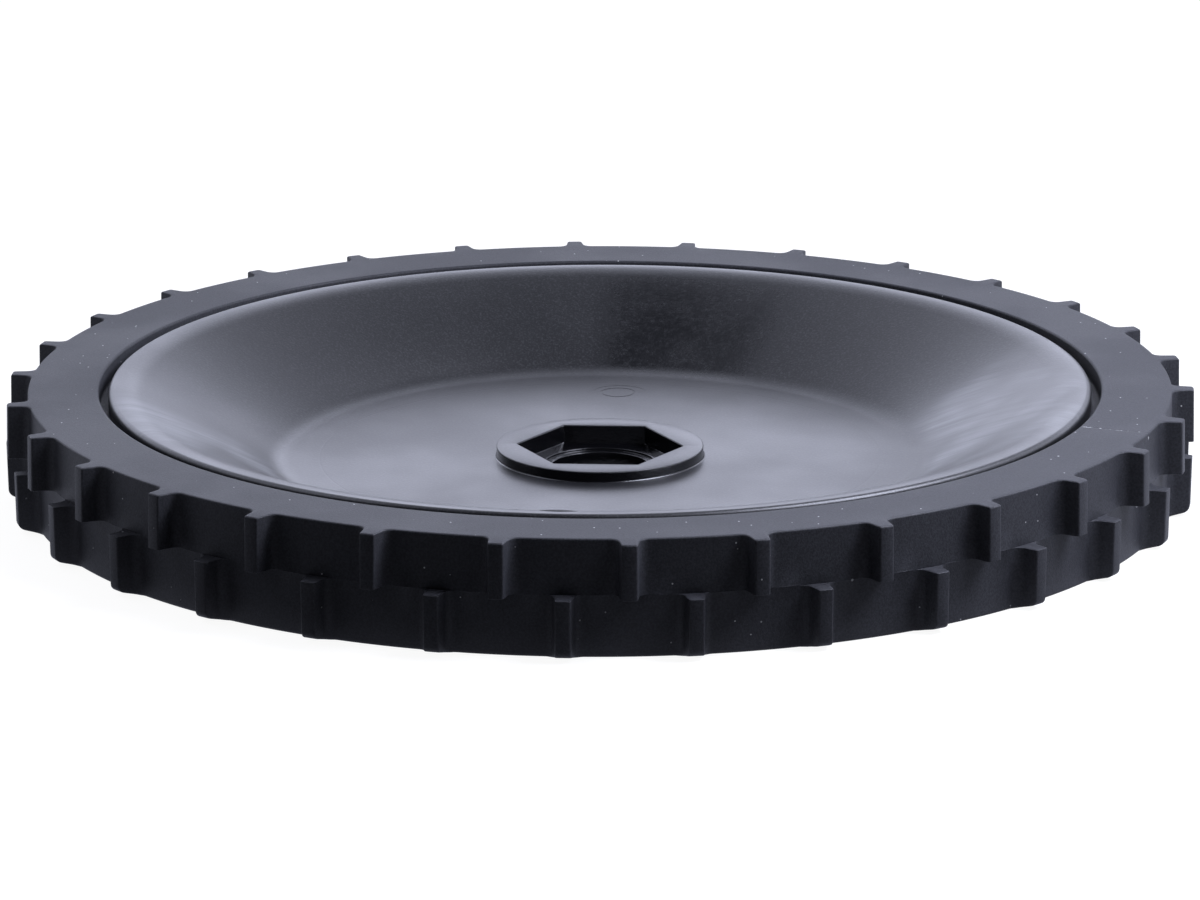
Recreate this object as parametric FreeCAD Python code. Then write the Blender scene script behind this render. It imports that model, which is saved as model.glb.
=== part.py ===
import FreeCAD, Part
import math
import os

from FreeCAD import Vector

# Robotic mower wheel, in millimetres. The axle lies along Z through the origin, the origin is the
# wheel's centre at the middle of the tyre's width, and the open side of the bowl faces +Z.

# Tyre
wheel_diameter = 246.0
tyre_width = 23.7
tyre_height = 21.25
tyre_lip_gap = 2.0
tyre_lip_chamfer = 0.7
tyre_seat_gap = 0.1
tread_parting_rise = 0.7
tread_draft_deg = 1.0
tread_back_chamfer = 0.5

# Tread lugs, two rows set half a pitch apart
lugs_per_row = 30
lug_height = 4.5
lug_tip_width = 3.0
lug_flank_deg = 8.0
lug_flare_height = 1.5
lug_flare_width = 1.4
lug_front_bevel = 0.4
lug_front_slant = 0.0
lug_back_round = 1.2
lug_back_slant = 1.2
lug_root_sink = 0.05

# Rim edge, flanges and barrel
rim_edge_drop = 0.1
rim_edge_land = 0.8
rim_edge_chamfer = 0.4
rim_edge_roll_radius = 14.0
flange_depth = 3.9
flange_overhang = 2.75
barrel_wall = 3.0

# Bowl: a level floor, a hollow sweep, a side that is crowned by a few degrees, and the roll of the rim edge
bowl_depth = 15.9
bowl_side_width = 37.95
bowl_wall = 3.0
bowl_sweep_radius = 11.0
bowl_crown_deg = 7.3

# Hub
boss_diameter = 43.0
boss_height = 2.2
boss_edge_chamfer = 0.2
boss_foot_chamfer = 0.4
hex_across_flats = 30.0
hex_depth = 3.9
ring_step_diameter = 23.2
ring_step_depth = 0.5
bore_diameter = 20.2
hub_tube_diameter = 40.0

# Ribs behind the bowl
rib_count = 6
rib_thickness = 2.4
rib_recess = 1.5

# Round witness mark of the moulding tool in the bowl's floor
mark_diameter = 10.0
mark_depth = 0.1
mark_inset = 13.0
mark_angle_deg = 87.6

# Room left past a face that a cut or a trim has to clear, and the distance at which points are one
over = 1.0
same_point = 1e-6

# Heights and radii that follow from the sizes above
tyre_half = tyre_width / 2
edge_z = tyre_half - rim_edge_drop
floor_z = edge_z - bowl_depth
boss_z = floor_z + boss_height
hex_floor_z = boss_z - hex_depth
ring_z = hex_floor_z - ring_step_depth
underside_z = floor_z - bowl_wall
back_z = -edge_z
rib_z = back_z + rib_recess
flange_z = edge_z - flange_depth
tip_r = wheel_diameter / 2
base_r = tip_r - lug_height
rim_r = tip_r - tyre_height
lip_r = rim_r + tyre_lip_gap
edge_r = rim_r - rim_edge_chamfer - rim_edge_land
barrel_r = rim_r - flange_overhang
barrel_bore_r = barrel_r - barrel_wall
floor_r = rim_r - bowl_side_width
mark_r = floor_r - mark_inset
boss_r = boss_diameter / 2
hub_r = hub_tube_diameter / 2
bore_r = bore_diameter / 2
ring_r = ring_step_diameter / 2
pitch_deg = 360.0 / lugs_per_row
draft = math.tan(math.radians(tread_draft_deg))


def at(radius, height):
    """A point of a half section, which lies in the XZ plane."""
    return Vector(radius, 0, height)


def line(start, end):
    return Part.LineSegment(start, end).toShape()


def corner_arc(centre, radius, from_deg, to_deg):
    """An arc of a half section about a centre, by its angles above the radial direction."""
    points = []
    for angle in (from_deg, (from_deg + to_deg) / 2, to_deg):
        turn = math.radians(angle)
        points.append(centre + Vector(radius * math.cos(turn), 0, radius * math.sin(turn)))
    return Part.Arc(*points).toShape()


def round_centre(first, first_deg, second, second_deg, radius):
    """The centre of a round between two lines, each given by a point and the angle its outside faces."""
    out_a = Vector(math.cos(math.radians(first_deg)), 0, math.sin(math.radians(first_deg)))
    out_b = Vector(math.cos(math.radians(second_deg)), 0, math.sin(math.radians(second_deg)))
    reach_a = out_a.dot(first) - radius
    reach_b = out_b.dot(second) - radius
    cross = out_a.x * out_b.z - out_a.z * out_b.x
    radius_out = (reach_a * out_b.z - reach_b * out_a.z) / cross
    return at(radius_out, (reach_b * out_a.x - reach_a * out_b.x) / cross)


def joined(edges):
    """Closes a run of edges, with straight lines across the gaps between them, and turns it round Z."""
    chain = []
    for edge, following in zip(edges, edges[1:] + edges[:1]):
        chain.append(edge)
        end = edge.lastVertex(True).Point
        start = following.firstVertex(True).Point
        if end.distanceToPoint(start) > same_point:
            chain.append(line(end, start))
    face = Part.Face(Part.Wire(chain))
    return face.revolve(Vector(), Vector(0, 0, 1), 360)


def turned(shape, angle_deg):
    copy = shape.copy()
    copy.rotate(Vector(), Vector(0, 0, 1), angle_deg)
    return copy


def bowl_slopes():
    """The slope of the bowl's side at its foot and at its top, where it runs on into the rim edge's roll."""
    apart = at(edge_r - floor_r, edge_z - rim_edge_roll_radius - floor_z - bowl_sweep_radius)
    half_crown = math.radians(bowl_crown_deg / 2)
    reach = (bowl_sweep_radius + rim_edge_roll_radius) * math.cos(half_crown)
    middle = math.atan2(apart.z, apart.x) + math.asin(reach / apart.Length)
    return middle + half_crown, middle - half_crown


def across(slope):
    """The direction square to a slope, down and away from the axle."""
    return Vector(math.sin(slope), 0, -math.cos(slope))


def bowl_sweep():
    """The bowl's three arcs from floor to rim edge: a tight hollow one, a wide crowned one and a roll."""
    foot, top = bowl_slopes()
    foot_deg = math.degrees(foot)
    top_deg = math.degrees(top)
    hollow = at(floor_r, floor_z + bowl_sweep_radius)
    roll = at(edge_r, edge_z - rim_edge_roll_radius)
    bend = hollow + across(foot) * bowl_sweep_radius
    chord = roll - across(top) * rim_edge_roll_radius - bend
    crown_radius = chord.Length / (2 * math.sin((foot - top) / 2))
    return [
        corner_arc(hollow, bowl_sweep_radius, -90, foot_deg - 90),
        corner_arc(bend + across(foot) * crown_radius, crown_radius, 90 + foot_deg, 90 + top_deg),
        corner_arc(roll, rim_edge_roll_radius, 90 + top_deg, 90),
    ]


def rim_blank():
    """The whole rim turned from its half section, still solid behind the bowl."""
    return joined([
        line(at(bore_r, back_z), at(bore_r, ring_z)),
        line(at(ring_r, ring_z), at(ring_r, boss_z)),
        line(at(boss_r - boss_edge_chamfer, boss_z), at(boss_r, boss_z - boss_edge_chamfer)),
        line(at(boss_r, floor_z + boss_foot_chamfer), at(boss_r + boss_foot_chamfer, floor_z)),
        *bowl_sweep(),
        line(at(rim_r - rim_edge_chamfer, edge_z), at(rim_r, edge_z - rim_edge_chamfer)),
        line(at(rim_r, flange_z), at(barrel_r, flange_z)),
        line(at(barrel_r, -flange_z), at(rim_r, -flange_z)),
        line(at(rim_r, back_z), at(barrel_bore_r, back_z)),
        line(at(barrel_bore_r, rib_z), at(hub_r, rib_z)),
        line(at(hub_r, back_z), at(bore_r, back_z)),
    ])


def back_pockets():
    """The room behind the bowl, level and then coned, between hub tube and barrel, less the ribs."""
    low_z = back_z - over
    cone_r = floor_r + bowl_sweep_radius * math.tan(bowl_slopes()[0] / 2)
    room = joined([
        line(at(hub_r, low_z), at(hub_r, underside_z)),
        line(at(cone_r, underside_z), at(edge_r, edge_z - bowl_wall)),
        line(at(edge_r, edge_z - bowl_wall), at(edge_r, low_z)),
    ])
    room = room.common(Part.makeCylinder(barrel_bore_r, edge_z - low_z, at(0, low_z)))
    rib = Part.makeBox(rim_r, rib_thickness, edge_z - rib_z, Vector(0, -rib_thickness / 2, rib_z))
    ribs = [turned(rib, 360.0 * i / rib_count) for i in range(rib_count)]
    return room.cut(ribs)


def hex_socket():
    """The socket in the boss, with two of its flats square to Y."""
    corner_r = hex_across_flats / math.sqrt(3)
    corners = [turned(Part.Vertex(corner_r, 0, hex_floor_z), 60.0 * i).Point for i in range(7)]
    face = Part.Face(Part.makePolygon(corners))
    return face.extrude(Vector(0, 0, hex_depth + over))


def witness_mark():
    place = at(mark_r, floor_z - mark_depth)
    mark = Part.makeCylinder(mark_diameter / 2, mark_depth + over, place)
    return turned(mark, mark_angle_deg)


def rim():
    return rim_blank().cut([back_pockets(), hex_socket(), witness_mark()])


def tyre_body():
    """The tyre without its lugs: a seat between the flanges, two rebated sides and a drafted tread."""
    seat_r = barrel_r + tyre_seat_gap
    seat_z = flange_z - tyre_seat_gap
    lip_z = tyre_half - tyre_lip_chamfer
    lip_top_r = lip_r + tyre_lip_chamfer
    chamfer_z = tread_back_chamfer - tyre_half
    front_r = base_r - draft * (tyre_half - tread_parting_rise)
    back_r = base_r - draft * (tread_parting_rise - chamfer_z)
    return joined([
        line(at(seat_r, -seat_z), at(seat_r, seat_z)),
        line(at(lip_r, seat_z), at(lip_r, lip_z)),
        line(at(lip_top_r, tyre_half), at(front_r, tyre_half)),
        line(at(base_r, tread_parting_rise), at(back_r, chamfer_z)),
        line(at(back_r - tread_back_chamfer, -tyre_half), at(lip_top_r, -tyre_half)),
        line(at(lip_r, -lip_z), at(lip_r, -seat_z)),
    ])


def lug_plan():
    """One lug's plan at the parting line, along +X: flanks that narrow outward, flared at the root."""
    spread = math.tan(math.radians(lug_flank_deg))
    tip_half = lug_tip_width / 2
    flank_half = tip_half + spread * (lug_height - lug_flare_height)
    foot_half = flank_half + lug_flare_width
    foot_x = math.sqrt((base_r - lug_root_sink) ** 2 - foot_half ** 2)
    half = [
        Vector(foot_x - over, foot_half),
        Vector(foot_x, foot_half),
        Vector(base_r + lug_flare_height, flank_half),
        Vector(tip_r + over, tip_half - spread * over),
    ]
    mirrored = [Vector(point.x, -point.y) for point in reversed(half)]
    return Part.Face(Part.makePolygon(half + mirrored + half[:1]))


def lug(side, end_size, end_slant, rounded):
    """One lug from the parting line to a side, +1 front or -1 back, with a slanted end, rounded or bevelled."""
    start = at(tip_r, tread_parting_rise)
    end_z = side * tyre_half
    length = abs(end_z - tread_parting_rise)
    bar = lug_plan().extrude(Vector(0, 0, side * (length + 2 * over)))
    bar.translate(Vector(0, 0, tread_parting_rise - side * over))
    bar.rotate(start, Vector(0, -side, 0), tread_draft_deg)
    foot = at(base_r - draft * length, end_z)
    tip_turn = side * tread_draft_deg
    end_turn = side * (90 - math.degrees(math.atan2(end_slant, lug_height)))
    centre = round_centre(start, tip_turn, foot, end_turn, end_size)
    tip_edge = corner_arc(centre, end_size, tip_turn, end_turn)
    if not rounded:
        tip_edge = line(tip_edge.firstVertex(True).Point, tip_edge.lastVertex(True).Point)
    outline = Part.Face(Part.Wire([
        line(at(lip_r, start.z), start),
        line(start, tip_edge.firstVertex(True).Point),
        tip_edge,
        line(tip_edge.lastVertex(True).Point, foot),
        line(foot, at(lip_r, end_z)),
        line(at(lip_r, end_z), at(lip_r, start.z)),
    ]))
    width = Vector(0, bar.BoundBox.YLength + 2 * over, 0)
    outline.translate(width / -2)
    return bar.common(outline.extrude(width))


def tyre():
    front = lug(1, lug_front_bevel, lug_front_slant, False)
    back = lug(-1, lug_back_round, lug_back_slant, True)
    lugs = []
    for i in range(lugs_per_row):
        lugs.append(turned(front, i * pitch_deg))
        lugs.append(turned(back, (i + 0.5) * pitch_deg))
    return tyre_body().fuse(lugs).removeSplitter()


os.makedirs("parts", exist_ok=True)
for name, build in (("rim", rim), ("tyre", tyre)):
    shape = build()
    solid = shape.Solids[0]
    print(name, "solids", len(shape.Solids), "valid", solid.isValid(), "volume", round(solid.Volume))
    solid.exportStep(os.path.join("parts", name + ".step"))
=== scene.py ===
import math

import bmesh
import bpy
from mathutils import Matrix, Vector


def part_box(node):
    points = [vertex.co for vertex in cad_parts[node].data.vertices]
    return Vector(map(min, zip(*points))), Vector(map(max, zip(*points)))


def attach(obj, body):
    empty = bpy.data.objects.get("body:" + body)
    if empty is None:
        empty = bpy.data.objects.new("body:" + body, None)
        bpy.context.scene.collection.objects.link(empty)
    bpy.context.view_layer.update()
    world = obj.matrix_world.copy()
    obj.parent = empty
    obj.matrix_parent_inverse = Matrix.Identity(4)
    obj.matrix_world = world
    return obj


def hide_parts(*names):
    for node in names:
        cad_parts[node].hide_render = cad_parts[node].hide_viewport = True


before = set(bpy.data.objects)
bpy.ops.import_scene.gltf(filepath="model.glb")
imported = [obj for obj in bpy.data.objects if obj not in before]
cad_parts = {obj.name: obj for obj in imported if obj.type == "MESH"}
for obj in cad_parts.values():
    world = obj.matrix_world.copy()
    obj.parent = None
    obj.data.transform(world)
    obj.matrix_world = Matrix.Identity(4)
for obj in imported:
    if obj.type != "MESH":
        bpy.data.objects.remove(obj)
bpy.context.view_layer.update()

# Lengths are in millimetres and angles in degrees, and turn into Blender's units where a mesh is made.
mm = 0.001

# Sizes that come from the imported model
tip_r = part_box("tyre")[1].x / mm
half_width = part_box("tyre")[1].z / mm
edge_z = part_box("rim")[1].z / mm
back_z = -edge_z

# Tyre
tyre_height = 21.25
lip_gap = 2.0
lip_round = 0.5
seat_gap = 0.1
seat_round = 0.6
parting_z = 0.7
draft_deg = 1.0
front_edge_round = 0.4
back_edge_round = 0.6

# Tread lugs, two rows set half a pitch apart
lugs_per_row = 30
lug_height = 4.5
lug_tip_width = 3.0
lug_flank_deg = 8.0
lug_tip_round = 0.4
lug_root_round = 2.0
lug_front_round = 0.5
lug_back_round = 1.2
lug_back_slant = 1.2
lug_edge_round = 0.3
lug_middle_round = 0.15
parting_ridge = 0.08
parting_ridge_width = 0.2

# Rim edge, flanges and barrel
rim_edge_land = 0.05
rim_edge_round = 1.15
rim_edge_roll = 14.0
flange_depth = 3.9
flange_overhang = 2.75
flange_edge_round = 0.2
flange_back_round = 0.4
barrel_wall = 3.0
barrel_foot_round = 0.3
barrel_back_round = 0.3
barrel_corner_round = 1.0

# Bowl
bowl_depth = 15.9
bowl_side_width = 37.95
bowl_wall = 3.0
sweep_radius = 11.0
crown_deg = 7.3
cone_round = 4.0

# Hub
boss_r = 21.5
boss_height = 2.2
boss_edge_round = 0.2
boss_foot_round = 0.4
hex_apothem = 15.0
hex_depth = 3.9
hex_corner_round = 0.5
hex_foot_round = 0.2
hex_edge_round = 0.25
ring_r = 11.6
ring_depth = 0.5
ring_foot_round = 0.1
ring_edge_round = 0.15
bore_r = 10.1
bore_edge_round = 0.15
bore_back_round = 0.4
hub_r = 20.0
hub_root_round = 0.8
hub_back_round = 0.4

# Ribs behind the bowl
rib_count = 6
rib_thickness = 2.4
rib_recess = 1.5
rib_root = 1.0

# Tool line round the bowl's floor, and a faint round tool mark with a fine ring in it
tool_line_r = 58.3
tool_line_width = 0.35
tool_line_depth = 0.03
mark_inset = 13.0
mark_diameter = 11.4
mark_depth = 0.04
mark_deg = 88.7
mark_ring_diameter = 7.5
mark_ring_depth = 0.1
mark_ring_groove = 0.35
mark_ring_deg = 89.0
mark_tool_reach = 1.0

# Gate stub on the roll of the rim edge. Its size is half its length, width and height.
stub_r = 97.8
stub_drop = 0.33
stub_deg = 268.6
stub_size = (1.2, 3.9, 0.4)

# Heights and radii that follow from the sizes above
draft = math.tan(math.radians(draft_deg))
base_r = tip_r - lug_height
half_pitch_deg = 180.0 / lugs_per_row
rim_r = tip_r - tyre_height
lip_r = rim_r + lip_gap
flange_z = edge_z - flange_depth
barrel_r = rim_r - flange_overhang
barrel_bore_r = barrel_r - barrel_wall
edge_r = rim_r - rim_edge_round - rim_edge_land
floor_z = edge_z - bowl_depth
underside_z = floor_z - bowl_wall
floor_r = rim_r - bowl_side_width
half_crown = math.radians(crown_deg / 2)
boss_z = floor_z + boss_height
hex_floor_z = boss_z - hex_depth
ring_z = hex_floor_z - ring_depth
rib_z = back_z + rib_recess
mark_r = floor_r - mark_inset
stub_z = edge_z - stub_drop

# Fineness of the meshes. Margins are narrow faces that keep a flat face's shading flat up to its edge.
rim_divisions = 600
arc_step_deg = 30.0
wide_round = 1.0
wide_step_deg = 15.0
end_round_steps = 4
root_steps = 5
tip_steps = 3
gap_points = 3
sweep_steps = 10
crown_steps = 16
roll_steps = 12
mark_divisions = 96
stub_segments = (32, 16)
smooth_below_deg = 40.0
flat_margin = 0.2
side_margin = 1.2
same_point = 1e-7
depth_digits = 4

# Fineness of the noises, and the share of a dust grain that is full
fine_detail = 2.0
dust_core = 0.5

# Rubber. Dust is given by the scale of its cells, a grain's size and the share of cells that hold one.
rubber_dark = (0.008, 0.0082, 0.0096, 1)
rubber_light = (0.034, 0.0348, 0.0405, 1)
rubber_gloss = 0.34
rubber_roughness = (0.56, 0.63)
rubber_rough_limits = (0.35, 0.65)
rubber_cloud_scale = 28.0
rubber_mottle_scale = 420.0
rubber_speckle_scale = 2200.0
rubber_speckle_limits = (0.3, 0.7)
rubber_grain_scale = 3400.0
rubber_tone_shares = (0.25, 0.25, 0.5)
rubber_relief = (0.5, 0.1)
dust_colour = (0.45, 0.45, 0.44, 1)
fine_dust = (400.0, 0.085, 0.3)
coarse_dust = (130.0, 0.042, 0.35)
seam_deg = -17.6
seam_half_width = (0.3, 0.1)
seam_heights = (half_width - 2.0, half_width - 1.0)
seam_dust_scale = 700.0
seam_dust_limits = (0.55, 0.62)

# Plastic. A wiped area is given by its direction, the lean of its streaks, and its start and end from there.
plastic_dark = (0.003, 0.0031, 0.0036, 1)
plastic_light = (0.007, 0.0072, 0.0082, 1)
plastic_roughness = (0.33, 0.41)
plastic_rough_limits = (0.3, 0.7)
plastic_cloud_scale = 22.0
plastic_grain_scale = 1700.0
plastic_grain_share = 0.5
plastic_relief = (0.4, 0.12)
film_colour = (0.15, 0.153, 0.158, 1)
sand_scale = 2200.0
sand_limits = (0.45, 0.75)
sand_share = 0.14
wipe_right = (3.0, 0.55, -22.0, 14.0)
wipe_left = (183.0, -0.15, 12.0, 24.0)
wipe_soft_deg = 9.0
wipe_reach = (72.0, 98.0, 6.0)
wipe_stretch = 0.05
wipe_streaks = (0.45, 5.0, 0.7)
wipe_streak_change = (0.25, 0.75, 0.25, 1.0)
wipe_cloud_scale = 45.0
wipe_cloud_limits = (0.3, 0.7)
upward_limits = (0.0, 0.2)

# Dark patch at the back of the bowl: its spread in degrees and its reach in radius, each with a soft edge
patch_deg = 80.0
patch_spread = (-9.0, 7.0, 9.0)
patch_reach = (70.0, 90.0, 8.0)
patch_cloud_scale = 90.0
patch_cloud_change = (0.2, 0.6, 0.35, 1.0)
patch_grain = (700.0, 4.0, 0.7)
patch_grain_change = (0.25, 0.65, 0.3, 1.0)
patch_roughness = 0.12

# Glossy hub: the socket, the bore and the boss's side. Its darker colour there is painted shade; the low
# roughness and the wet relief are the surface's own.
hub_painted_shade_colour = (0.002, 0.002, 0.0025, 1)
hub_roughness = 0.16
hub_limits = (boss_r + 0.3, boss_r + 0.1)
hub_heights = (boss_z - 0.1, boss_z - 0.4)
hub_wet_scale = 900.0

# Camera, seen from the middle of the rim edge: turned about the axle from -Y, then back, up and pitched down
camera_turn_deg = 3.31
camera_side = 1.2
camera_back = 1362.7
camera_up = 360.1
camera_pitch_deg = 15.385
camera_roll_deg = -0.121
camera_yaw_deg = -0.051
camera_sensor = 36.0
camera_lens = 203.86
camera_clip = (0.05, 50.0)

# Floor, in metres, and the glow that makes it white for the camera
floor_size = 6.0
floor_colour = 0.16
floor_roughness = 0.9
floor_glow = 0.93

# How bright the floor mirrors in the wheel, with distances in metres: in front only at the wheel's foot
mirror_front = 0.0
mirror_foot = 0.8
mirror_round = 0.9
mirror_fade = (-0.92, -0.2)
mirror_foot_fade = (0.119, 0.133)
mirror_under = (0.112, 0.119)

# Wall behind the wheel: its brightness from the foot upwards, and the heights between which it changes
wall_foot = 0.9
wall_peak = 4.7
wall_high = 1.3
wall_top = 0.15
wall_rise = (0.08, 0.27)
wall_fall = (0.29, 0.5)
wall_top_fall = (0.72, 0.95)

# Shares of the wall's brightness at the left, in the middle and at the right, and where they change
wall_shares = (0.86, 1.08, 0.55)
wall_left_change = (-0.06, 0.02)
wall_right_change = (0.04, 0.12)
wall_ends = (0.35, 0.9)

# Sides of the studio from left to right, and the dim rest in front and behind the wall
side_level = (0.25, 1.2)
side_spread = (-0.6, 0.6)
side_back_fade = (0.6, 0.95)
side_front_fade = (-0.5, 0.3)
ambient_level = 0.03
studio_tint = (0.785, 0.82, 1.0)
white = (1, 1, 1, 1)

# Soft boxes: name, azimuth, elevation, distance and size in metres, and power
lamps = (
    ("right_box", 100, 50, 1.6, 0.9, 7.0),
    ("left_box", -100, 50, 1.6, 0.9, 5.0),
    ("near_box", 75, 50, 0.38, 0.2, 2.4),
)


# Helpers for shapes

def steps(count, start, end):
    """Values from start to end in even steps, both ends included."""
    return [start + (end - start) * i / count for i in range(count + 1)]


def fallen(radius, distance):
    """How far a rounded edge has fallen off at a distance from the face where it ends."""
    if distance >= radius:
        return 0.0
    return radius - math.sqrt(radius ** 2 - (radius - distance) ** 2)


def round_depths(radius):
    """Distances from the end face at which a rounded edge gets a ring of points."""
    return [radius * (1 - math.sin(math.radians(turn))) for turn in steps(end_round_steps, 0, 90)]


def on_circle(radius, angle, height):
    return (radius * math.cos(angle), radius * math.sin(angle), height)


def filleted(corners):
    """Section points (r, z, kind) of corners (r, z, round, kind), with arcs in the rounded corners."""
    section = []
    for i, (r, z, size, kind) in enumerate(corners):
        if size == 0:
            section.append((r, z, kind))
            continue
        here = Vector((r, z))
        before = (Vector(corners[i - 1][:2]) - here).normalized()
        after = (Vector(corners[(i + 1) % len(corners)][:2]) - here).normalized()
        half = before.angle(after) / 2
        middle = here + (before + after).normalized() * (size / math.sin(half))
        start = here + before * (size / math.tan(half)) - middle
        end = here + after * (size / math.tan(half)) - middle
        turn = math.copysign(math.pi - 2 * half, start.cross(end))
        step_deg = wide_step_deg if size >= wide_round else arc_step_deg
        count = max(2, round(math.degrees(abs(turn)) / step_deg))
        for angle in steps(count, 0, turn):
            point = middle + Matrix.Rotation(angle, 2) @ start
            section.append((point.x, point.y, kind))
    return section


def new_object(name, shape):
    """An object in the scene from a bmesh, which is freed."""
    mesh = bpy.data.meshes.new(name)
    shape.to_mesh(mesh)
    shape.free()
    piece = bpy.data.objects.new(name, mesh)
    bpy.context.scene.collection.objects.link(piece)
    return piece


def rings_object(name, rings):
    """A closed mesh from rings of equally many points, each joined to the next and the last to the first."""
    shape = bmesh.new()
    grid = [[shape.verts.new(Vector(point) * mm) for point in ring] for ring in rings]
    for ring, following in zip(grid, grid[1:] + grid[:1]):
        for i in range(len(ring)):
            shape.faces.new((ring[i - 1], ring[i], following[i], following[i - 1]))
    bmesh.ops.remove_doubles(shape, verts=shape.verts, dist=same_point)
    bmesh.ops.dissolve_degenerate(shape, edges=shape.edges, dist=same_point)
    bmesh.ops.recalc_face_normals(shape, faces=shape.faces)
    return new_object(name, shape)


def prisms_object(name, prisms):
    """One mesh of separate prisms, each given by its two end outlines."""
    shape = bmesh.new()
    for low, high in prisms:
        ends = [[shape.verts.new(point * mm) for point in outline] for outline in (low, high)]
        for end in ends:
            shape.faces.new(end)
        for i in range(len(low)):
            shape.faces.new((ends[0][i - 1], ends[0][i], ends[1][i], ends[1][i - 1]))
    bmesh.ops.recalc_face_normals(shape, faces=shape.faces)
    return new_object(name, shape)


def combine(piece, tool, operation):
    """Adds a tool's solids to a piece or cuts them from it, and removes the tool."""
    change = piece.modifiers.new("change", "BOOLEAN")
    change.operation = operation
    change.solver = "EXACT"
    change.object = tool
    changed = piece.evaluated_get(bpy.context.evaluated_depsgraph_get())
    mesh = bpy.data.meshes.new_from_object(changed)
    piece.modifiers.clear()
    piece.data = mesh
    bpy.data.objects.remove(tool)


# Tyre

def lug_profile(height, drop, inset):
    """One lug across the tread, as (height above the tread, distance along it) from foot to foot."""
    spread = math.tan(math.radians(lug_flank_deg))
    slant = math.hypot(1, spread)
    flank = lug_tip_width / 2 + spread * lug_height - inset * slant
    flank_turn = math.atan2(1, spread)
    tip_u = height - lug_tip_round
    tip_y = flank - spread * tip_u - lug_tip_round * slant
    root_u = lug_root_round - drop
    root_y = flank - spread * root_u + lug_root_round * slant
    half = []
    for turn in steps(tip_steps, 0, flank_turn):
        half.append((tip_u + lug_tip_round * math.cos(turn), tip_y + lug_tip_round * math.sin(turn)))
    for turn in steps(root_steps, flank_turn, 0):
        half.append((root_u - lug_root_round * math.cos(turn), root_y - lug_root_round * math.sin(turn)))
    return [(u, -y) for u, y in reversed(half)] + half


def lug_angles(profile, tread_r):
    return [math.asin(y / (tread_r + u)) for u, y in profile]


def tread_ring(side, depth):
    """The tread's outline at a depth from the parting line towards a side, +1 front or -1 back."""
    length = half_width - side * parting_z
    from_end = length - depth
    front = side > 0
    middle_fall = fallen(lug_middle_round, depth)
    drop = fallen(front_edge_round if front else back_edge_round, from_end)
    inset = max(fallen(lug_edge_round, from_end), middle_fall)
    tip_fall = max(fallen(lug_front_round if front else lug_back_round, from_end), middle_fall)
    slant = 0.0 if front else lug_back_slant * depth / length / lug_height
    tread_r = base_r - draft * depth
    tread_z = parting_z + side * depth
    profile = lug_profile(lug_height - tip_fall, drop, inset)
    own = []
    for angle, (u, _) in zip(lug_angles(profile, tread_r), profile):
        own.append((angle, tread_r + u, tread_z - side * slant * max(0, u)))
    middle_profile = lug_profile(lug_height - lug_middle_round, 0, lug_middle_round)
    other = [(angle, tread_r - drop, tread_z) for angle in lug_angles(middle_profile, base_r)]
    half_pitch = math.radians(half_pitch_deg)
    foot = other[-1][0]
    gap_r = tread_r - drop + parting_ridge * max(0, 1 - depth / parting_ridge_width)
    gap = [(angle, gap_r, tread_z) for angle in steps(gap_points + 1, foot, half_pitch - foot)[1:-1]]
    blocks = (own, other) if front else (other, own)
    points = []
    for i in range(2 * lugs_per_row):
        for angle, radius, height in blocks[i % 2] + gap:
            points.append(on_circle(radius, angle + i * half_pitch, height))
    return points


def tread_depths(side, end_round, edge_round):
    """Depths of the rings of one row, from the parting line to its side."""
    length = half_width - side * parting_z
    depths = {0.0, parting_ridge_width, length / 2}
    depths.update(lug_middle_round - gone for gone in round_depths(lug_middle_round))
    for size in (end_round, edge_round, lug_edge_round):
        depths.update(length - left for left in round_depths(size))
    return sorted(round(depth, depth_digits) for depth in depths)


def build_tyre():
    seat_r = barrel_r + seat_gap
    seat_z = flange_z - seat_gap
    lip_flat_r = lip_r + lip_round + flat_margin
    front = [tread_ring(1, depth) for depth in tread_depths(1, lug_front_round, front_edge_round)]
    back = [tread_ring(-1, depth) for depth in tread_depths(-1, lug_back_round, back_edge_round)]
    angles = [math.atan2(point[1], point[0]) for point in front[0]]
    corners = [
        (base_r, half_width, 0, None),
        (base_r - side_margin, half_width, 0, None),
        (lip_flat_r, half_width, 0, None),
        (lip_r, half_width, lip_round, None),
        (lip_r, seat_z, seat_round, None),
        (seat_r, seat_z, seat_round, None),
        (seat_r, -seat_z, seat_round, None),
        (lip_r, -seat_z, seat_round, None),
        (lip_r, -half_width, lip_round, None),
        (lip_flat_r, -half_width, 0, None),
        (base_r - side_margin, -half_width, 0, None),
        (base_r, -half_width, 0, None),
    ]
    inside = filleted(corners)[1:-1]
    rings = [[on_circle(r, angle, z) for angle in angles] for r, z, _ in inside]
    return rings_object("tyre_ring", front + rings + list(reversed(back)))


# Rim

def hex_radius(apothem, angle):
    """Distance from the axle to a hexagon with rounded corners, one of them on +X."""
    sixth = math.radians(60)
    off = (angle + sixth / 2) % sixth - sixth / 2
    flat = apothem / math.cos(sixth / 2 - abs(off))
    centre = (apothem - hex_corner_round) / math.cos(sixth / 2)
    reach = hex_corner_round ** 2 - (centre * math.sin(off)) ** 2
    if reach < 0 or abs(centre * math.sin(off)) > hex_corner_round / 2:
        return flat
    return min(flat, centre * math.cos(off) + math.sqrt(reach))


def bowl_slopes():
    """The slope of the bowl's side at its foot and at its top, where it runs on into the rim edge's roll."""
    apart = Vector((edge_r - floor_r, edge_z - rim_edge_roll - floor_z - sweep_radius))
    reach = (sweep_radius + rim_edge_roll) * math.cos(half_crown)
    middle = math.atan2(apart.y, apart.x) + math.asin(reach / apart.length)
    return middle + half_crown, middle - half_crown


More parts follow.
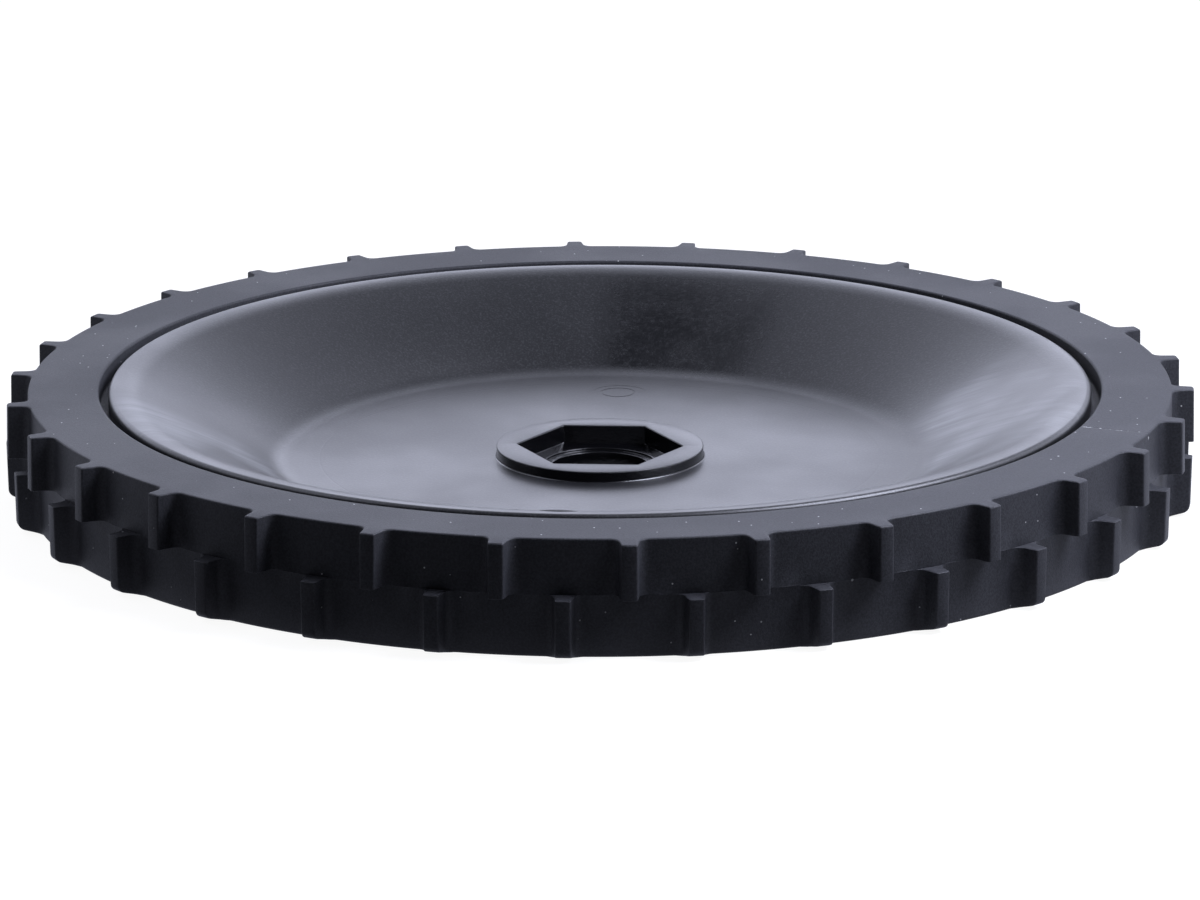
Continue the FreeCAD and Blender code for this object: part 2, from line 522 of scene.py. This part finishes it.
# Where the bowl's underside starts to rise
cone_r = floor_r + sweep_radius * math.tan(bowl_slopes()[0] / 2)


def across(slope):
    """The direction square to a slope of the section, down and away from the axle."""
    return Vector((math.sin(slope), -math.cos(slope)))


def bowl_sweep():
    """Section points from the bowl's floor up to its edge: a hollow arc, a wide crowned one and a roll."""
    foot, top = bowl_slopes()
    hollow = Vector((floor_r, floor_z + sweep_radius))
    roll = Vector((edge_r, edge_z - rim_edge_roll))
    bend = hollow + across(foot) * sweep_radius
    chord = roll - across(top) * rim_edge_roll - bend
    crown_radius = chord.length / (2 * math.sin(half_crown))
    crown = bend + across(foot) * crown_radius
    points = [hollow + across(turn) * sweep_radius for turn in steps(sweep_steps, 0, foot)]
    points += [crown - across(turn) * crown_radius for turn in steps(crown_steps, foot, top)[1:]]
    points += [roll - across(turn) * rim_edge_roll for turn in steps(roll_steps, top, 0)[1:]]
    return [(point.x, point.y, 0, "round") for point in points]


def bowl_floor():
    """Section points of the bowl's floor from the boss outwards, with the tool line in it."""
    line_inner = tool_line_r - tool_line_width / 2
    line_outer = tool_line_r + tool_line_width / 2
    return [
        (boss_r + boss_foot_round + flat_margin, floor_z, 0, "round"),
        (line_inner - flat_margin, floor_z, 0, "round"),
        (line_inner, floor_z, 0, "round"),
        (tool_line_r, floor_z - tool_line_depth, 0, "round"),
        (line_outer, floor_z, 0, "round"),
        (line_outer + flat_margin, floor_z, 0, "round"),
        (floor_r - flat_margin, floor_z, 0, "round"),
    ]


def cone_under(radius):
    """Height of the bowl's underside where it rises to the barrel."""
    return underside_z + (radius - cone_r) * (edge_z - bowl_wall - underside_z) / (edge_r - cone_r)


def rim_section():
    return filleted([
        (bore_r, back_z, bore_back_round, "round"),
        (bore_r, ring_z, bore_edge_round, "round"),
        (ring_r, ring_z, ring_foot_round, "round"),
        (ring_r, hex_floor_z, ring_edge_round, "round"),
        (hex_apothem, hex_floor_z, hex_foot_round, "hex"),
        (hex_apothem, boss_z, hex_edge_round, "hex"),
        (boss_r, boss_z, boss_edge_round, "round"),
        (boss_r, floor_z, boss_foot_round, "round"),
        *bowl_floor(),
        *bowl_sweep(),
        (rim_r, edge_z, rim_edge_round, "round"),
        (rim_r, flange_z, flange_edge_round, "round"),
        (barrel_r, flange_z, barrel_foot_round, "round"),
        (barrel_r, -flange_z, barrel_foot_round, "round"),
        (rim_r, -flange_z, flange_edge_round, "round"),
        (rim_r, back_z, flange_back_round, "round"),
        (barrel_bore_r, back_z, barrel_back_round, "round"),
        (barrel_bore_r, cone_under(barrel_bore_r), barrel_corner_round, "round"),
        (cone_r, underside_z, cone_round, "round"),
        (hub_r, underside_z, hub_root_round, "round"),
        (hub_r, back_z, hub_back_round, "round"),
    ])


def rib_prism(turn):
    """One rib as a flat plate, let into the hub tube, the bowl and the barrel."""
    inner = hub_r - rib_root
    outer = barrel_bore_r + rib_root
    outline = [
        (inner, rib_z),
        (outer, rib_z),
        (outer, cone_under(outer) + rib_root),
        (cone_r, underside_z + rib_root),
        (inner, underside_z + rib_root),
    ]
    place = Matrix.Rotation(turn, 3, "Z")
    half = rib_thickness / 2
    return [[place @ Vector((r, y, z)) for r, z in outline] for y in (-half, half)]


def mark_prism(angle_deg, radius, low, high):
    """A flat round plate on the bowl's floor, between two heights above it."""
    centre = Vector(on_circle(mark_r, math.radians(angle_deg), floor_z))
    turns = steps(mark_divisions, 0, 2 * math.pi)[:-1]
    return [[centre + Vector(on_circle(radius, turn, height)) for turn in turns] for height in (low, high)]


def stub_object():
    """The gate stub, a flat lump let into the rim edge's roll."""
    turn = Matrix.Rotation(math.radians(stub_deg), 4, "Z")
    place = turn @ Matrix.Translation((stub_r * mm, 0, stub_z * mm))
    size = Matrix.Diagonal((*[half * mm for half in stub_size], 1))
    around, along = stub_segments
    shape = bmesh.new()
    bmesh.ops.create_uvsphere(
        shape, u_segments=around, v_segments=along, radius=1.0, matrix=place @ size
    )
    return new_object("stub", shape)


def build_rim():
    turns = steps(rim_divisions, 0, 2 * math.pi)[:-1]
    rings = []
    for r, z, kind in rim_section():
        radii = [hex_radius(r, turn) if kind == "hex" else r for turn in turns]
        rings.append([on_circle(radius, turn, z) for radius, turn in zip(radii, turns)])
    piece = rings_object("rim_moulding", rings)
    ribs = [rib_prism(turn) for turn in steps(rib_count, 0, 2 * math.pi)[:-1]]
    ring_outer = mark_ring_diameter / 2
    ring_inner = ring_outer - mark_ring_groove
    disc = mark_prism(mark_deg, mark_diameter / 2, -mark_depth, mark_tool_reach)
    groove = mark_prism(mark_ring_deg, ring_outer, -mark_ring_depth, mark_tool_reach)
    face = mark_prism(mark_ring_deg, ring_inner, -mark_tool_reach, -mark_depth)
    combine(piece, prisms_object("ribs", ribs), "UNION")
    combine(piece, stub_object(), "UNION")
    combine(piece, prisms_object("mark", [disc]), "DIFFERENCE")
    combine(piece, prisms_object("mark_ring", [groove]), "DIFFERENCE")
    combine(piece, prisms_object("mark_face", [face]), "UNION")
    return piece


# Helpers for materials

def new_tree(name):
    material = bpy.data.materials.new(name)
    material.use_nodes = True
    return material, material.node_tree


def add(tree, kind, inputs=None, **settings):
    """A node with its settings, and its inputs given as values or as sockets to link."""
    made = tree.nodes.new(kind)
    for key, value in settings.items():
        setattr(made, key, value)
    for key, value in (inputs or {}).items():
        if isinstance(value, bpy.types.NodeSocket):
            tree.links.new(value, made.inputs[key])
        else:
            made.inputs[key].default_value = value
    return made


def maths(tree, operation, *values):
    made = add(tree, "ShaderNodeMath", dict(enumerate(values)), operation=operation)
    return made.outputs[0]


def times(tree, product, *others):
    """The product of two or more values."""
    for other in others:
        product = maths(tree, "MULTIPLY", product, other)
    return product


def ramp(tree, value, low, high, to_low=0.0, to_high=1.0):
    """A value taken smoothly from one range to another."""
    made = add(
        tree,
        "ShaderNodeMapRange",
        {"Value": value, "From Min": low, "From Max": high, "To Min": to_low, "To Max": to_high},
        interpolation_type="SMOOTHSTEP",
    )
    return made.outputs["Result"]


def noise(tree, place, scale, detail=3.0, roughness=0.55):
    made = add(
        tree,
        "ShaderNodeTexNoise",
        {"Vector": place, "Scale": scale, "Detail": detail, "Roughness": roughness},
    )
    return made.outputs["Fac"]


def blend_colour(tree, factor, first, second):
    return add(tree, "ShaderNodeMix", {0: factor, 6: first, 7: second}, data_type="RGBA").outputs[2]


def blend_value(tree, factor, first, second):
    return add(tree, "ShaderNodeMix", {0: factor, 2: first, 3: second}, data_type="FLOAT").outputs[0]


def specks(tree, place, scale, size, share):
    """A mask of small scattered grains: cells of a given scale, of which a share hold one."""
    cells = add(tree, "ShaderNodeTexVoronoi", {"Vector": place, "Scale": scale})
    grain = ramp(tree, cells.outputs["Distance"], size, size * dust_core)
    pick = add(tree, "ShaderNodeSeparateColor", {"Color": cells.outputs["Color"]})
    return times(tree, grain, maths(tree, "LESS_THAN", pick.outputs[0], share))


def band(tree, value, start, end, soft):
    """1 between start and end, with soft edges outside them."""
    return times(tree, ramp(tree, value, start - soft, start), ramp(tree, value, end + soft, end))


def polar(tree, place, zero_deg):
    """Radius in millimetres, angle in degrees from a direction of the wheel, and height in millimetres."""
    turned = add(tree, "ShaderNodeVectorRotate", {"Vector": place, "Angle": math.radians(-zero_deg)})
    parts = add(tree, "ShaderNodeSeparateXYZ", {"Vector": turned.outputs[0]})
    level = add(tree, "ShaderNodeVectorMath", {0: place, 1: (1, 1, 0)}, operation="MULTIPLY")
    radius = add(tree, "ShaderNodeVectorMath", {0: level.outputs[0]}, operation="LENGTH").outputs["Value"]
    angle = maths(tree, "ARCTAN2", parts.outputs["Y"], parts.outputs["X"])
    height = parts.outputs["Z"]
    return times(tree, radius, 1 / mm), times(tree, angle, 180 / math.pi), times(tree, height, 1 / mm)


def relief(tree, surface, strength, depth, height):
    bump = add(tree, "ShaderNodeBump", {"Strength": strength, "Distance": depth * mm, "Height": height})
    tree.links.new(bump.outputs[0], surface.inputs["Normal"])


def facing(tree, way):
    """How far a direction or place lies behind the wheel: 1 straight behind, 0 at the sides, -1 in front."""
    level = add(tree, "ShaderNodeVectorMath", {0: way, 1: (1, 1, 0)}, operation="MULTIPLY")
    along = add(tree, "ShaderNodeVectorMath", {0: level.outputs[0]}, operation="NORMALIZE")
    return add(tree, "ShaderNodeSeparateXYZ", {"Vector": along.outputs[0]}).outputs["Y"]


# Materials

def rubber():
    """Dull rubber with a fine grain, a mould seam across the front face, and dust."""
    material, tree = new_tree("tyre_rubber")
    surface = tree.nodes["Principled BSDF"]
    place = add(tree, "ShaderNodeTexCoord").outputs["Object"]
    cloud = noise(tree, place, rubber_cloud_scale)
    mottle = noise(tree, place, rubber_mottle_scale)
    speckle = ramp(tree, noise(tree, place, rubber_speckle_scale, fine_detail), *rubber_speckle_limits)
    cloud_share, mottle_share, speckle_share = rubber_tone_shares
    tone = maths(tree, "ADD", times(tree, cloud, cloud_share), times(tree, mottle, mottle_share))
    tone = maths(tree, "ADD", tone, times(tree, speckle, speckle_share))
    colour = blend_colour(tree, tone, rubber_dark, rubber_light)
    radius, angle, height = polar(tree, place, seam_deg)
    off_seam = times(tree, maths(tree, "ABSOLUTE", angle), radius, math.pi / 180)
    seam = times(tree, ramp(tree, off_seam, *seam_half_width), ramp(tree, height, *seam_heights))
    seam_dust = ramp(tree, noise(tree, place, seam_dust_scale), *seam_dust_limits)
    dust = maths(tree, "MAXIMUM", specks(tree, place, *fine_dust), specks(tree, place, *coarse_dust))
    dust = maths(tree, "MAXIMUM", dust, times(tree, seam, seam_dust))
    colour = blend_colour(tree, dust, colour, dust_colour)
    tree.links.new(colour, surface.inputs["Base Color"])
    surface.inputs["Specular IOR Level"].default_value = rubber_gloss
    rough = ramp(tree, cloud, *rubber_rough_limits, *rubber_roughness)
    tree.links.new(rough, surface.inputs["Roughness"])
    grain = noise(tree, place, rubber_grain_scale, fine_detail)
    relief(tree, surface, *rubber_relief, maths(tree, "SUBTRACT", grain, seam))
    return material


def wipe_marks(tree, place, zero_deg, lean, start_deg, end_deg):
    """Streaks of a wiped film on the bowl's side, leaning off the radius by so many degrees a millimetre."""
    radius, angle, _ = polar(tree, place, zero_deg)
    leant = maths(tree, "ADD", angle, times(tree, radius, lean))
    stretched = {"X": leant, "Y": times(tree, radius, wipe_stretch)}
    along = add(tree, "ShaderNodeCombineXYZ", stretched).outputs[0]
    streaks = ramp(tree, noise(tree, along, *wipe_streaks), *wipe_streak_change)
    cloud = ramp(tree, noise(tree, place, wipe_cloud_scale, fine_detail), *wipe_cloud_limits)
    spread = band(tree, angle, start_deg, end_deg, wipe_soft_deg)
    return times(tree, streaks, cloud, spread, band(tree, radius, *wipe_reach))


def plastic():
    """Satin black plastic with a wiped film on the bowl's sides, a dark patch and a glossy hub whose darker
    colour is painted shade.
    """
    material, tree = new_tree("rim_plastic")
    surface = tree.nodes["Principled BSDF"]
    place = add(tree, "ShaderNodeTexCoord").outputs["Object"]
    normal = add(tree, "ShaderNodeNewGeometry").outputs["Normal"]
    normal_z = add(tree, "ShaderNodeSeparateXYZ", {"Vector": normal}).outputs["Z"]
    upward = ramp(tree, normal_z, *upward_limits)
    radius, angle, height = polar(tree, place, patch_deg)
    patch = times(
        tree,
        band(tree, angle, *patch_spread),
        band(tree, radius, *patch_reach),
        ramp(tree, noise(tree, place, patch_cloud_scale), *patch_cloud_change),
        ramp(tree, noise(tree, place, *patch_grain), *patch_grain_change),
        upward,
    )
    right = wipe_marks(tree, place, *wipe_right)
    left = wipe_marks(tree, place, *wipe_left)
    sand = ramp(tree, noise(tree, place, sand_scale, fine_detail), *sand_limits, 0.0, sand_share)
    film = times(tree, maths(tree, "MAXIMUM", right, left), upward)
    film = maths(tree, "MAXIMUM", film, sand)
    film = times(tree, film, maths(tree, "SUBTRACT", 1.0, patch))
    # Hub mask: its darker colour in the socket, the bore and on the boss's side is painted shade; its low
    # roughness and wet relief are the surface's own
    hub = times(tree, ramp(tree, radius, *hub_limits), ramp(tree, height, *hub_heights))
    cloud = noise(tree, place, plastic_cloud_scale)
    colour = blend_colour(tree, cloud, plastic_dark, plastic_light)
    colour = blend_colour(tree, film, colour, film_colour)
    # Painted shade: the hub's darker colour replaces the plastic's colour and film there
    colour = blend_colour(tree, hub, colour, hub_painted_shade_colour)
    tree.links.new(colour, surface.inputs["Base Color"])
    rough = ramp(tree, cloud, *plastic_rough_limits, *plastic_roughness)
    rough = blend_value(tree, patch, rough, patch_roughness)
    rough = blend_value(tree, hub, rough, hub_roughness)
    tree.links.new(rough, surface.inputs["Roughness"])
    grain = times(tree, noise(tree, place, plastic_grain_scale, fine_detail), plastic_grain_share)
    wet = times(tree, hub, noise(tree, place, hub_wet_scale))
    relief(tree, surface, *plastic_relief, maths(tree, "ADD", grain, wet))
    return material


# Stage, light and camera

def build_stage():
    """A pale floor under the wheel. The camera sees it white, and it keeps the wheel's shadow."""
    shape = bmesh.new()
    bmesh.ops.create_grid(shape, x_segments=1, y_segments=1, size=floor_size)
    floor = new_object("floor", shape)
    floor.location.z = -half_width * mm
    material, tree = new_tree("floor_white")
    surface = tree.nodes["Principled BSDF"]
    ray = add(tree, "ShaderNodeLightPath")
    place = add(tree, "ShaderNodeTexCoord").outputs["Object"]
    out = add(tree, "ShaderNodeVectorMath", {0: place}, operation="LENGTH").outputs["Value"]
    front = ramp(tree, out, *mirror_foot_fade, mirror_foot, mirror_front)
    mirrored = blend_value(tree, ramp(tree, facing(tree, place), *mirror_fade), front, mirror_round)
    mirrored = times(tree, mirrored, ramp(tree, out, *mirror_under), ray.outputs["Is Glossy Ray"])
    glow = maths(tree, "ADD", times(tree, ray.outputs["Is Camera Ray"], floor_glow), mirrored)
    tint = blend_colour(tree, ray.outputs["Is Camera Ray"], (*studio_tint, 1), white)
    surface.inputs["Base Color"].default_value = (floor_colour, floor_colour, floor_colour, 1)
    surface.inputs["Roughness"].default_value = floor_roughness
    surface.inputs["Specular IOR Level"].default_value = 0.0
    tree.links.new(glow, surface.inputs["Emission Strength"])
    tree.links.new(tint, surface.inputs["Emission Color"])
    floor.data.materials.append(material)


def build_world():
    """A bright wall behind the wheel, dimmer above and at the sides. The camera sees white."""
    world = bpy.data.worlds.new("studio")
    world.use_nodes = True
    bpy.context.scene.world = world
    tree = world.node_tree
    background = tree.nodes["Background"]
    way = add(tree, "ShaderNodeTexCoord").outputs["Generated"]
    parts = add(tree, "ShaderNodeSeparateXYZ", {"Vector": way})
    sideways = parts.outputs["X"]
    up = parts.outputs["Z"]
    behind = facing(tree, way)
    wall = ramp(tree, up, *wall_rise, wall_foot, wall_peak)
    wall = blend_value(tree, ramp(tree, up, *wall_fall), wall, wall_high)
    wall = blend_value(tree, ramp(tree, up, *wall_top_fall), wall, wall_top)
    left, middle, right = wall_shares
    share = ramp(tree, sideways, *wall_left_change, left, middle)
    share = blend_value(tree, ramp(tree, sideways, *wall_right_change), share, right)
    wall = times(tree, wall, share, ramp(tree, behind, *wall_ends))
    side = ramp(tree, sideways, *side_spread, *side_level)
    side = blend_value(tree, ramp(tree, behind, *side_back_fade), side, ambient_level)
    side = blend_value(tree, ramp(tree, behind, *side_front_fade), ambient_level, side)
    level = maths(tree, "ADD", wall, side)
    seen = add(tree, "ShaderNodeLightPath").outputs["Is Camera Ray"]
    tree.links.new(blend_colour(tree, seen, (*studio_tint, 1), white), background.inputs["Color"])
    tree.links.new(blend_value(tree, seen, level, 1.0), background.inputs["Strength"])


def add_lamp(name, azimuth_deg, elevation_deg, distance, size, power):
    """A square soft box that faces the wheel. Azimuth 0 is behind the camera and 90 at its right."""
    turn = math.radians(azimuth_deg)
    tilt = math.radians(elevation_deg)
    out = Vector((math.sin(turn) * math.cos(tilt), -math.cos(turn) * math.cos(tilt), math.sin(tilt)))
    data = bpy.data.lights.new(name, "AREA")
    data.shape = "RECTANGLE"
    data.size = size
    data.size_y = size
    data.energy = power
    data.color = studio_tint
    lamp = bpy.data.objects.new(name, data)
    lamp.location = out * distance
    lamp.rotation_euler = out.to_track_quat("Z", "Y").to_euler()
    lamp.visible_camera = False
    bpy.context.scene.collection.objects.link(lamp)


def build_camera():
    data = bpy.data.cameras.new("camera")
    data.sensor_fit = "HORIZONTAL"
    data.sensor_width = camera_sensor
    data.lens = camera_lens
    data.clip_start, data.clip_end = camera_clip
    camera = bpy.data.objects.new("camera", data)
    turn = Matrix.Rotation(math.radians(camera_turn_deg), 4, "Z")
    place = Matrix.Translation(Vector((camera_side, -camera_back, edge_z + camera_up)) * mm)
    yaw = Matrix.Rotation(math.radians(-camera_yaw_deg), 4, "Z")
    pitch = Matrix.Rotation(math.radians(90 - camera_pitch_deg), 4, "X")
    roll = Matrix.Rotation(math.radians(camera_roll_deg), 4, "Z")
    camera.matrix_world = turn @ place @ yaw @ pitch @ roll
    bpy.context.scene.collection.objects.link(camera)
    bpy.context.scene.camera = camera


def finish_piece(piece, node, material):
    piece.data.shade_smooth()
    piece.data.set_sharp_from_angle(angle=math.radians(smooth_below_deg))
    piece.data.materials.clear()
    piece.data.materials.append(material)
    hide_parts(node)
    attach(piece, "root")


finish_piece(build_tyre(), "tyre", rubber())
finish_piece(build_rim(), "rim", plastic())
build_stage()
build_world()
for lamp in lamps:
    add_lamp(*lamp)
build_camera()
bpy.context.scene.view_settings.view_transform = "Standard"
